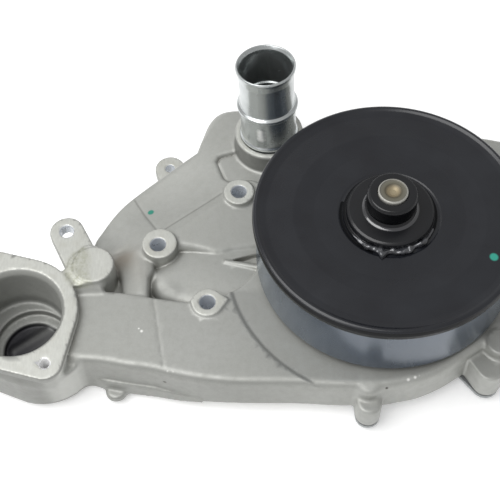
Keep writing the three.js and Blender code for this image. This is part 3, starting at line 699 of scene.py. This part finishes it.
    # ---- pad E, strip and ear D
    cyl(-177.6, -2.8, 12.8, -79.5, -43, 0.9, 1, 1.6)
    link([(-195.5, 22.9, 10.6), (-183.5, -2.0, 10.8)], -52.8, -44.6, 0.7, 1.6, 0.5)
    link([(-186.4, -1.5, 7.0), (-183, -8.6, 7.0), (-180, 4, 8)], -60, -43.9, 0.5, 1, 0.5)
    link([(-180, -2, 10), (-184, 6, 6)], -79.5, -52, 1, 1, 2)
    prism([(-192, -8), (-171, -8.0), (-170.6, -14), (-172, -18.6), (-192, -18.6)], -70, -46.4, 3.6, 1, 2.6)
    prism([(-198, -8), (-194, -16), (-186.5, -17.0), (-176, -15), (-173, -3), (-178, 6), (-185, 8), (-189.2, 4.3), (-191.7, -0.7)], -60, -44.3, 0.5, 1, 0.5)
    # ---- ear F
    link([(-134.2, 91.1, 10), (-126, 74, 13)], -82.5, -74, 0.7, 1.5, 1.2)
    # ---- thermostat housing
    T = (-223.2, -33.9)
    fl = [(*T, 38), (-202.8, -68.7, 10.5), (-243.6, 0.9, 10.5)]
    link([(x, y, r - 1.4) for x, y, r in fl], -68, -46, 1, 13, 1.0)
    link([(-223.0, -34.5, 36.6), (-209, -44, 33.5)], PORT, -54, 3, 9, 3.0)
    link([(-222, -35, 33), (-190, -41, 20)], -84.5, -56, 3, 6, 4)
    link(fl, -50.0, -44, 0.5, 1.6, 0.6)
    # ---- hose neck boss
    cyl(-66.8, 93.7, 22.2, -79.5, -40, 0.8, 1, 2.2, draft=0.035)
    # ---- crossover behind the pulley
    cross = spline([(-44, 112), (-20, 112), (30, 108), (80, 98), (112, 88)], 5) + [(112, 60), (60, 45), (-44, 50)]
    prism(cross, JOINT, -58, 6, 1.5, 3)
    # ---- right port block, mirrored
    rp2 = mirror(silh) + [(176, 12), (164, 12), (139, 4), (131, 12), (106, 10), (70, 14), (60, 50), (80, 92)]
    rp2 = [(min(x, 154.0), y) for x, y in rp2]
    rp2 = [p for i, p in enumerate(rp2) if i == 0 or math.hypot(p[0] - rp2[i - 1][0], p[1] - rp2[i - 1][1]) > 0.2]
    prism(rp2, -79.5, -50.4, 3.0, 1.5, 2.2, top=lambda X, Y: smin(smin(plane((0.6, 0.8), 96.6, -50.6, 0.39)(X, Y), plane((-0.6, -0.8), -94.6, -50.4, 0.165)(X, Y), 1.0),
          plane((0.89, 0.46), 131.6, -50.6, 0.41)(X, Y), 1.0).astype(F), slope=1.06)
    prism([(108, -38.7), (118, -36), (134, -22), (148, 0), (152, 10), (154, 26), (152, 44), (149, 61), (139, 72), (123.6, 83), (113, 90), (80, 92), (60, 50), (66, 0), (78, -18), (97, -36)],
          PORT, -62, 3, 2, 2)
    for x, y in ((138.8, 13.6), (87.6, 52.0), (108.3, -28.7)):
        cyl(x, y, 9.7, PORT, BOSS, 0.5, 2, 1.6, draft=0.02)
    # ---- lugs on the front wall
    link([(-15, -91.3, 7.5), (-15, -78, 8.8)], JOINT, -62, 2.2, 1.0, 1.5)
    cyl(-15, -82.2, 8.2, -66, -53.0, 3.5, 1, 2.0)
    link([(57.5, -73.5, 8.4), (50, -56, 10), (74, -54, 10)], JOINT, -58, 1.4, 1.0, 1.6)
    cyl(64.5, -60.5, 8.6, -66, -50.5, 1.0, 1, 2.2)
    link([(62, -57, 9), (76, -46, 8)], JOINT, -52.5, 2.5, 1, 2)
    # plinth along the arm's foot with its half-round tab
    led = spline([(-192, -60.2), (-184.2, -62.6), (-171.9, -67.9), (-156.4, -71.3), (-142.3, -74.0), (-128.3, -77.6), (-113.2, -80.4)], 5)
    prism(led + [(-112, -70), (-140, -62), (-186, -54)], -84.0, -71.2, 0.8, 0.8, 0.6, floor=arm_floor,
          top=lambda X, Y: (-71.2 - 0.10 * np.maximum(X + 140, 0)).astype(F) + 0 * Y)
    cyl(-165.3, -69.8, 6.5, -84.0, -79.4, 2.6, 0.8, 2.2)
    # bearing nose
    cyl(0, 0, 25, -52, -11.5, 1, 1, 2)
    cyl(0, 0, 25.5, -52, -38, 3, 1, 6, draft=1.0)

    # ------------------------------------------------------------ hollows
    cut(lambda X, Y, Z: rmax(np.sqrt(X * X + Y * Y) - F(81.4), Z - F(JOINT), 0.3), [-82, 82, -82, 82, PORT - 2, JOINT], 0.4)
    suct = [(-206, -58), (-180, -60), (-150, -66), (-112, -74), (-60, -78), (-24, -66), (-16, -44), (-44, -30), (-70, -44), (-99, -53), (-122, -47), (-150, -33), (-184, -34), (-206, -40)]

    def suction(X, Y, Z):
        a = rmax(rmax(poly(suct, X, Y), Z + F(56.0), 4), -75.5 - Z, 4)
        R = np.sqrt(X * X + Y * Y)
        b = rmax(rmax(R - 47, Z + F(54.5), 3), -62.5 - Z, 1)
        webs = np.minimum(np.maximum(R - 52, Z + 62.5), R - 21.5)
        return np.maximum(np.minimum(a, b), -webs)
    cut(suction, [-207, 48, -79, 48, -76, -54], 1)
    link([(0, 0, 45), (-14, 4, 45), (12, -6, 44)], JOINT - 1, -66, 0.5, 0.5, 1, op=cut)
    cyl(0, 0, 24, -67, -62, 0.3, 0.3, 0.5, op=cut)
    for s in (-1, 1):
        block(*sorted((s * 128, s * 44)), -9, 14, -77.5, -67, 4, op=cut)
        block(*sorted((s * 128, s * 97)), -13, 17, PORT - 2, -60, 5, op=cut, r=1)
        link([(s * 138, 42, 9), (s * 122, 54, 9), (s * 124, 40, 9)], PORT - 2, -69, 2, 0.3, 1, op=cut)
    link([(-124, 52, 9), (-94, 78, 9), (-66.8, 93.7, 14)], -76.5, -68, 3, 3, 1, op=cut)
    link([(-66.8, 93.7, 13), (30, 92, 9)], -76.5, -68, 3, 3, 1, op=cut)
    link([(30, 92, 9), (96, 78, 9)], -76.5, -68, 3, 3, 1, op=cut)
    link([(96, 78, 9), (124, 52, 9)], -76.5, -68, 3, 3, 1, op=cut)
    cyl(-66.8, 93.7, 16.4, -75, -30, 0.3, 1, 0.3, op=cut)
    cyl(0, 0, 19.3, -50, 0, 0.1, 0.3, 0.5, op=cut)
    cyl(0, 0, 14.5, -57, -49.7, 0.1, 0.1, 0.4, op=cut)
    cyl(0, 0, 18.2, -64, -56, 0.1, 0.3, 0.4, op=cut)
    cyl(0, 43, 3, -54.4, -45, 0.1, 0.1, 0.3, op=cut)
    block(-3, 3, 14, 46, -54.4, -51.4, 1, op=cut)
    ax = np.array([-0.045, 0.087, 1.0])
    ax /= np.linalg.norm(ax)

    def counterbore(X, Y, Z):
        x, y, z = X + 66.8, Y - 93.7, Z + 40
        t = x * ax[0] + y * ax[1] + z * ax[2]
        r = np.sqrt(np.maximum(x * x + y * y + z * z - t * t, 0))
        return np.maximum(r - 18.3, -12 - t)
    cut(counterbore, [-90, -44, 70, 118, -53, -38], 0.4)
    # thermostat bore with its ledges
    cyl(*T, 27.6, -79.4, -40, 0.1, 2.6, 0.7, op=cut)
    cut(lambda X, Y, Z: np.maximum(np.sqrt((X - F(T[0])) ** 2 + (Y - F(T[1])) ** 2) - F(29.8) + np.clip(-Z - 44.0, 0, 6) * F(0.62), -48.0 - Z), [-256, -190, -66, -1, -49, -38], 0.5)
    cyl(-218.0, -37.0, 23.4, -83.6, -74, 0.1, 1.2, 0.8, op=cut)
    cyl(-217.6, -39.2, 18.6, -86.4, -80, 0.1, 1.0, 1.6, op=cut)
    prism(hull([(-230.5, -38.4, 3.0), (-206.5, -22.2, 3.0)], 16), -87.5, -85.6, 2.4, 0.3, 3.0)
    for x, y in ((-202.8, -68.7), (-243.6, 0.9)):
        cyl(x, y, 2.4, PORT - 2, -40, 0.1, 0.1, 0.3, op=cut)
        cut(lambda X, Y, Z, x=x, y=y: np.sqrt((X - F(x)) ** 2 + (Y - F(y)) ** 2) - F(3.1) + np.clip(-Z - 44.0, 0, 30) * F(0.16), [x - 5, x + 5, y - 5, y + 5, -52, -40], 0.3)
    for x, y in ((-138.8, 13.6), (-87.6, 52.0), (-108.3, -28.7)):
        for s in (1, -1):
            cyl(s * x, y, 4.8, PORT - 2, BOSS + 2, 0.1, 0.1, 0.4, op=cut)
    cyl(-195.5, 22.9, 4.2, -60, -40, 0.1, 0.1, 0.4, op=cut)
    cyl(-134.2, 91.1, 3, -90, -60, 0.1, 0.1, 0.4, op=cut)
    for x, y in COVER_BOLTS:
        cyl(x, y, 3.0, JOINT - 1, -67.5, 0.1, 0.1, 0.2, op=cut)


COVER_BOLTS = [(-15, -91.3), (57.5, -73.5), (70.3, -23.2), (65.3, 34.7), (25.3, 69.5), (-25.3, 69.5), (-65.3, 34.7), (-70.3, -23.2), (-44.5, -59)]


def sample(P):
    """Trilinear value of the field at points (mm)."""
    q = (P - LO) / H
    i = np.clip(np.floor(q).astype(int), 0, np.array([NX, NY, NZ]) - 2)
    f = q - i
    v = np.zeros(len(P))
    for a in (0, 1):
        for b in (0, 1):
            for c in (0, 1):
                w = (f[:, 0] if a else 1 - f[:, 0]) * (f[:, 1] if b else 1 - f[:, 1]) * (f[:, 2] if c else 1 - f[:, 2])
                v += w * D[i[:, 0] + a, i[:, 1] + b, i[:, 2] + c]
    return v


def field_normals(P, e=0.95):
    n = np.zeros_like(P)
    for k in range(3):
        d = np.zeros(3)
        d[k] = e * H
        n[:, k] = sample(P + d) - sample(P - d)
    return n / np.maximum(np.linalg.norm(n, axis=1, keepdims=True), 1e-9)


def mesh_field(adapt):
    g = vdb.FloatGrid(background=3 * H)
    g.copyFromArray(np.clip(D, -3 * H, 3 * H))
    out = g.convertToPolygons(isovalue=0.0, adaptivity=adapt)
    pts, tris, quads = out
    P = np.asarray(pts, float) * H + LO
    faces = [f[::-1] for f in np.asarray(tris).tolist()] + [f[::-1] for f in np.asarray(quads).tolist()]
    return P, faces


casting()
V, faces = mesh_field(0.012)
print("casting mesh:", len(V), "vertices", len(faces), "faces")
N = field_normals(V)
# outward check: the first face's winding against the field's gradient
f0 = np.array([V[f[:3]] for f in faces[:400]])
fn = np.cross(f0[:, 1] - f0[:, 0], f0[:, 2] - f0[:, 0])
gn = np.array([N[f[0]] for f in faces[:400]])
if (np.sum(fn * gn, axis=1) > 0).mean() < 0.5:
    faces = [f[::-1] for f in faces]
body = new_object("cast_housing", at(V), faces, CAST, "housing_body", ("pump_housing",), None, N)


def set_attr(ob, name, values):
    a = ob.data.attributes.new(name, "FLOAT", "POINT")
    a.data.foreach_set("value", np.asarray(values, np.float32))


mach = np.zeros(len(V))
up = N[:, 2] > 0.93


def disc(x, y, r, z, w=0.5):
    m = up & (np.abs(V[:, 2] - z) < w) & (np.hypot(V[:, 0] - x, V[:, 1] - y) < r)
    mach[m] = 1


for s in (1, -1):
    for x, y in ((-138.8, 13.6), (-87.6, 52.0), (-108.3, -28.7)):
        disc(s * x, y, 13.0, BOSS)
disc(-177.6, -2.8, 13.2, -43)
disc(-195.5, 22.9, 30, -44.6)
disc(-185, -2, 14, -43.9)
disc(-134.2, 91.1, 11, -74)
disc(-223.2, -33.9, 60, -44)
disc(-66.8, 93.7, 23.5, -40)
disc(0, 0, 26, -11.5)
down = (N[:, 2] < -0.93) & ((np.abs(V[:, 2] - PORT) < 0.3) | (np.abs(V[:, 2] - JOINT) < 0.3))
mach[down] = 1
px, py = V[:, 0], V[:, 1]
# painted shade, brownish, in the valley at the roof's foot and the pocket beside pad E
set_attr(body, "painted_valley_shade", np.clip(np.exp(-(((px + 161.5) / 8.5) ** 2 + ((py - 8.5) / 8.0) ** 2)) * 1.1 + 0.55 * np.exp(-(((px + 150.5) / 7) ** 2 + ((py + 4) / 9) ** 2)) * 0.4, 0, 1))
rough_skin = np.exp(-np.maximum(poly([(-195, -4), (-190.5, 5), (-184.5, 9.5), (-181, 4), (-183.5, -6), (-179.0, -15), (-188, -17), (-193, -13)], px[:, None, None], py[:, None, None])[:, 0, 0], 0) ** 2 / 2.2)
set_attr(body, "stain", rough_skin * (V[:, 2] > -47))
bores = np.zeros(len(V))
# bore walls: bright machined metal, with painted light inside the holes
for hx, hy, hr in [(sg * x, y, 5.5) for x, y in ((-138.8, 13.6), (-87.6, 52.0), (-108.3, -28.7)) for sg in (1, -1)] + [(-195.5, 22.9, 4.8), (-134.2, 91.1, 3.5), (-202.8, -68.7, 3.7), (-243.6, 0.9, 3.7)]:
    bores[(np.hypot(px - hx, py - hy) < hr) & (N[:, 2] < 0.8)] = 1
set_attr(body, "bore_metal_and_painted_light", bores)
hole = np.zeros(len(V), bool)
T2 = np.hypot(V[:, 0] + 223.2, V[:, 1] + 33.9)
for hx, hy in ((-202.8, -68.7), (-243.6, 0.9), (-195.5, 22.9), (-134.2, 91.1)):
    hole |= np.hypot(V[:, 0] - hx, V[:, 1] - hy) < 4.6
mach[hole] = 1
set_attr(body, "machined", mach)
# painted shade in the thermostat well below z -82.2: near black, lighter towards the right and in a band along the rib
deep = np.hypot(V[:, 0] + 218, V[:, 1] + 39)
seg = np.clip(((px + 230.5) * 24.0 + (py + 38.4) * 16.2) / (24.0 ** 2 + 16.2 ** 2), 0, 1)
streak = np.exp(-(((px + 230.5 - 24.0 * seg) ** 2 + (py + 38.4 - 16.2 * seg) ** 2) / 5.0))
level = 0.97 - 0.22 * np.clip((px + 226) / 22, 0, 1) - 0.16 * streak
set_attr(body, "painted_well_shade", np.clip((19.9 - deep) / 1.6, 0, 1) * np.clip((-82.2 - V[:, 2]) / 1.0, 0, 1) * level)
# occlusion sampled along the normal: painted shade in corners and crevices, also standing for grime there
occ = np.zeros(len(V))
for dist in (2.0, 4.0, 7.0):
    occ += np.clip(1 - sample(V + N * dist) / dist, 0, 1)
set_attr(body, "dirt_and_crevice_shade", np.clip(occ / 3 * 1.1 - 0.25, 0, 1) * 0.75 * (1 - mach))

# painted shade: the steep cast walls, the neck boss wall, the bore's deep ledge, the deck inside the step, a patch on
# the bulge and the up-facing faces near the front are darkened in the colour
shade = np.clip((-N[:, 1] - 0.35) / 0.3, 0, 1) * (py < -50) * (0.24 + 0.1 * np.clip((-180 - px) / 25, 0, 1)) * np.clip((30 - px) / 120, 0, 1)
shade = np.maximum(shade, 0.46 * np.clip((0.75 - N[:, 2]) / 0.4, 0, 1) * (np.hypot(px + 66.8, py - 93.7) < 25.5) * (np.hypot(px + 66.8, py - 93.7) > 19.5) * (V[:, 2] < -41) * (V[:, 2] > -60))
shade = np.maximum(shade, 0.32 * (T2 < 27.9) * np.clip((-70 - V[:, 2]) / 4, 0, 1))
shade = np.maximum(shade, 0.15 * np.clip((96 - np.hypot(px, py)) / 3, 0, 1) * up * (V[:, 2] > -58) * (px < -20) * (py < -20))
shade = np.maximum(shade, 0.34 * np.exp(-(((px + 131) / 10.0) ** 2 + ((py + 18) / 7.5) ** 2)) * (V[:, 2] > -68))
shade = np.maximum(shade, 0.09 * up * (py < -20))
set_attr(body, "shade", shade * (1 - mach))
# painted light on the cast wall along the flange's right side
painted_fill_light = np.clip((0.8 - N[:, 2]) / 0.2, 0, 1) * np.clip((px + 206) / 4, 0, 1) * np.clip((-181 - px) / 5, 0, 1) * np.clip((-28 - py) / 6, 0, 1) * np.clip((py + 80) / 5, 0, 1) * (V[:, 2] < -45.5) * (V[:, 2] > -80) * np.clip((T2 - 33) / 2, 0, 1)
set_attr(body, "painted_fill_light", painted_fill_light * (1 - mach))

# ------------------------------------------------------------------ pulley, hub, shaft
turned("belt_pulley", [(75, -46.5, 0.6), (78, -46.5, 0.8), (78, -10.5, 2), (79.3, -8.0, 2.0), (80, -4.4, 3), (79.5, -1.2, 1.6), (77.6, 0, 1.6), (75.6, -1.3, 2.5),
                       (72.0, -2.1, 5), (56, -0.9, 7), (44, -2.7, 7), (30.2, -2.7, 1.6), (29.2, -3.1, 0.8), (28.2, -3.1, 0.3), (27.6, -3.0, 0.3), (15.3, -3.0, 0.4), (15.3, -5.8, 0.4), (40, -5.6, 2), (51, -4.2, 1), (71, -5.4, 4), (75, -9.5, 3)],
       PAINT, "rotor", ("pulley",), 224, arc=6, sharp=50)
track = bpy.data.objects["belt_pulley"].data
track.materials.append(DRUM)
track.materials.append(SHADED_BLACK)
# the drum gets the blue-tinted paint (painted reflection); the rim lip and the groove round the hub on its left and
# near side get the darker copy (painted shade)
for f in track.polygons:
    c = f.center
    rr = math.hypot(c[0] * 1e3 - AX, c[1] * 1e3 - AY)
    if rr > 77.0 and c[2] * 1e3 - AZ < -9.6:
        f.material_index = 1
    elif rr > 78.6 and c[2] * 1e3 - AZ < -1.4:
        f.material_index = 2
    elif 25.0 < rr < 29.3 and c[0] * 1e3 - AX < -12 and c[1] * 1e3 - AY < 10 and c[2] * 1e3 - AZ > -4.2:
        f.material_index = 2
turned("pulley_hub_disc", [(8.95, 19, 0.3), (13.4, 19, 1.4), (14.6, 17.2, 1.2), (14.4, 8.6, 1.0), (13.4, 6.6, 1.5), (15.6, 3.6, 2.6), (23.8, 3.3, 1.0), (25.3, 2.4, 1.4), (25.6, -0.6, 0.6),
                           (27.4, -1.2, 0.6), (27.4, -2.4, 0.3), (14.9, -2.4, 0.3), (14.9, -9.2, 0.4), (8.95, -9.2, 0.3)], HUB_PAINT, "rotor", ("pulley_hub",), 128, arc=6, sharp=50)


hub = bpy.data.objects["pulley_hub_disc"].data
hub.materials.append(GLOSS)
hub.materials.append(SHADED_BLACK)
# the base fillet gets the glossy paint; the sleeve wall and the disc's edge get the darker copy (painted shade)
for f in hub.polygons:
    c = f.center
    rr, zz = math.hypot(c[0] * 1e3 - AX, c[1] * 1e3 - AY), c[2] * 1e3 - AZ
    if 14.2 < rr < 16.4 and 3.1 < zz < 4.9:
        f.material_index = 1
    elif (rr > 13.0 and 6.0 <= zz < 16.0) or rr > 25.8:
        f.material_index = 2


def weld_bead():
    """The lumpy weld along the near edge of the hub disc, painted over with the pulley."""
    rng = np.random.default_rng(11)
    n, k = 420, 26
    a0, a1 = math.radians(-149), math.radians(-26)

    def ripple(freqs, seed):
        g = np.random.default_rng(seed)
        t = np.linspace(0, 1, n)
        v = np.zeros(n)
        for f in freqs:
            v += np.sin(2 * math.pi * (f * t + g.random())) * g.uniform(0.5, 1.0)
        return v / len(freqs)
    t = np.linspace(0, 1, n)
    mid = np.clip(np.sin(math.pi * np.clip((t - 0.08) / 0.84, 0, 1)), 0, 1) ** 0.5
    rad = 0.6 + 1.45 * mid * (0.62 + 0.5 * ripple((4, 7, 11), 3))
    out = 26.6 + 0.8 * mid * ripple((3, 5, 8), 5)
    hgt = -1.25 + 0.55 * mid * ripple((6, 10, 17), 7)
    drip = np.exp(-((t - 0.37) / 0.04) ** 2)
    drip2 = np.exp(-((t - 0.22) / 0.05) ** 2) + 0.8 * np.exp(-((t - 0.60) / 0.06) ** 2) + 0.6 * np.exp(-((t - 0.8) / 0.04) ** 2)
    rad = rad + 0.8 * drip + 0.5 * drip2
    out = out + 2.0 * drip + 0.8 * drip2
    ends = np.minimum(1, np.minimum(t, 1 - t) / 0.03)
    rad = np.maximum(rad * np.sqrt(np.clip(ends, 0.0, 1)), 0.02)
    verts, faces = [], []
    for i in range(n):
        a = a0 + (a1 - a0) * t[i]
        for j in range(k):
            b = 2 * math.pi * j / k
            w = 1 + 0.14 * math.sin(2 * b + 23 * t[i]) + 0.08 * math.sin(3 * b - 37 * t[i]) + 0.012 * rng.standard_normal()
            r = out[i] + 1.15 * rad[i] * w * math.cos(b)
            verts.append((r * math.cos(a), r * math.sin(a), max(hgt[i] + 0.95 * rad[i] * w * math.sin(b), -3.4)))
    for i in range(n - 1):
        for j in range(k):
            faces.append((i * k + j, (i + 1) * k + j, (i + 1) * k + (j + 1) % k, i * k + (j + 1) % k))
    c0, c1 = len(verts), len(verts) + 1
    for i in (0, n - 1):
        verts.append(tuple(np.mean(verts[i * k:(i + 1) * k], axis=0)))
    for j in range(k):
        faces.append((c0, j, (j + 1) % k))
        faces.append((c1, (n - 1) * k + (j + 1) % k, (n - 1) * k + j))
    new_object("hub_weld_bead", at(np.array(verts)), faces, WELD, "rotor", (), 70)


weld_bead()
turned("drive_shaft", [(0, 18.6), (2.0, 18.9, 0.5), (4.3, 20.0, 0.3), (4.9, 20.3, 0.3), (7.3, 20.3, 0.3), (7.6, 20.7, 0.3), (8.1, 20.7, 0.4), (8.6, 20.0, 0.5), (8.6, -48.5, 0.3), (8.2, -49, 0.2),
                       (8.2, -77.6, 0.6), (0, -77.6)], SHAFT, "rotor", ("pump_shaft",), 96, sharp=40)

# ------------------------------------------------------------------ hose neck tube
AXN = np.array([-0.045, 0.087, 1.0])
AXN /= np.linalg.norm(AXN)
def dimple(r, z, a):
    d = math.exp(-(((a - math.radians(253)) * 18 / 1.9) ** 4 + ((z - 15.6) / 5.4) ** 4))
    return (r + (0.5 * d if r > 17.5 else 0.0), z)


turned("neck_tube", [(16.4, -11, 0.2), (17.9, -11, 0.4), (17.9, -0.8, 0.4), (18.7, -0.2, 0.5), (18.9, 1.2, 0.6), (17.9, 2.4, 0.8)] + [(17.8, 4.0 + 0.8 * i) for i in range(25)] +
       [(17.8, 24.0, 0.8), (19.5, 25.2, 1.0), (19.5, 27.0, 1.0),
        (17.6, 28.6, 1.2), (17.3, 40.0, 6), (17.5, 51.0, 6), (18.7, 56.0, 2), (18.9, 57.6, 0.9), (18.3, 58.6, 0.6), (17.6, 58.5, 0.5), (16.2, 56.4, 0.8), (15.9, 54.0, 2), (15.9, 29.8, 0.3), (14.9, 28.9, 0.3),
        (14.9, 24.6, 0.3), (16.0, 23.4, 0.5), (16.0, 3.0, 0.8), (17.0, 1.6, 0.6), (17.0, 0.2, 0.6), (16.4, -0.8, 0.8)], ZINC, "housing_body", ("hose_neck_tube",),
       160, (-66.8, 93.7, -40), (-0.032, 0.087, 1.0), sharp=50, wobble=dimple)

# ------------------------------------------------------------------ CAD nodes that keep their shape
SLOTMAT = {"rear_cover": STAMPED, "rear_cover_gasket": GASKET, "weep_hole_screen": BRASS, "impeller": STAMPED, "bearing_outer_race": RACE,
           "bearing_front_seal": RUBBER, "bearing_rear_seal": RUBBER, "ball_cage": NYLON, "roller_cage": NYLON, "slinger": RUBBER, "seal_cup": BRASS,
           "seal_bellows": RUBBER, "seal_spring": STEEL, "seal_carbon_ring": CARBON, "seal_mating_ring": CERAMIC}
for n, ob in NODES.items():
    mat = SLOTMAT.get(n)
    if n.startswith("cover_screw"):
        mat = ZINC2
    if n.startswith("bearing_ball") or n.startswith("bearing_roller"):
        mat = RACE
    if mat is None or ob.hide_render:
        continue
    ob.data.materials.clear()
    ob.data.materials.append(mat)
    ob.data.shade_smooth()
    ob.data.set_sharp_from_angle(angle=math.radians(32))

# ------------------------------------------------------------------ floor and light
def floor():
    me = bpy.data.meshes.new("studio_floor")
    s = 3.0
    me.from_pydata([(-s, -s, 0), (s, -s, 0), (s, s, 0), (-s, s, 0)], [], [(0, 1, 2, 3)])
    ob = bpy.data.objects.new("studio_floor", me)
    bpy.context.scene.collection.objects.link(ob)
    m = Mat("studio_floor")
    m.b.inputs["Emission Color"].default_value = (1.0, 1.0, 1.0, 1)
    m.b.inputs["Emission Strength"].default_value = 0.26
    me.materials.append(m.set(color=(0.9, 0.9, 0.9), rough=0.85, spec=0.1))


floor()
world = bpy.data.worlds.new("studio")
bpy.context.scene.world = world
world.use_nodes = True
wt = world.node_tree
wt.nodes.clear()
wo = wt.nodes.new("ShaderNodeOutputWorld")
bg = wt.nodes.new("ShaderNodeBackground")
bg.inputs[0].default_value = (1.0, 1.0, 1.0, 1)
bg.inputs[1].default_value = 0.5
wt.links.new(bg.outputs[0], wo.inputs[0])


def area(name, loc, aim, size, power, color=(1, 1, 1)):
    li = bpy.data.lights.new(name, "AREA")
    li.shape, li.size, li.size_y, li.energy, li.color = "RECTANGLE", size[0], size[1], power, color
    ob = bpy.data.objects.new(name, li)
    ob.location = loc
    ob.rotation_euler = (Vector(aim) - Vector(loc)).to_track_quat("-Z", "Y").to_euler()
    bpy.context.scene.collection.objects.link(ob)
    return ob


area("key_light", (-0.72, -0.30, 1.35), (0, 0, 0.03), (1.4, 1.4), 21.5)
area("rim_light", (-0.5, 1.0, 0.9), (0, 0, 0.03), (0.8, 0.5), 0.8)

bpy.context.scene.view_settings.view_transform = "Standard"
bpy.context.scene.view_settings.look = "None"
bpy.context.view_layer.update()
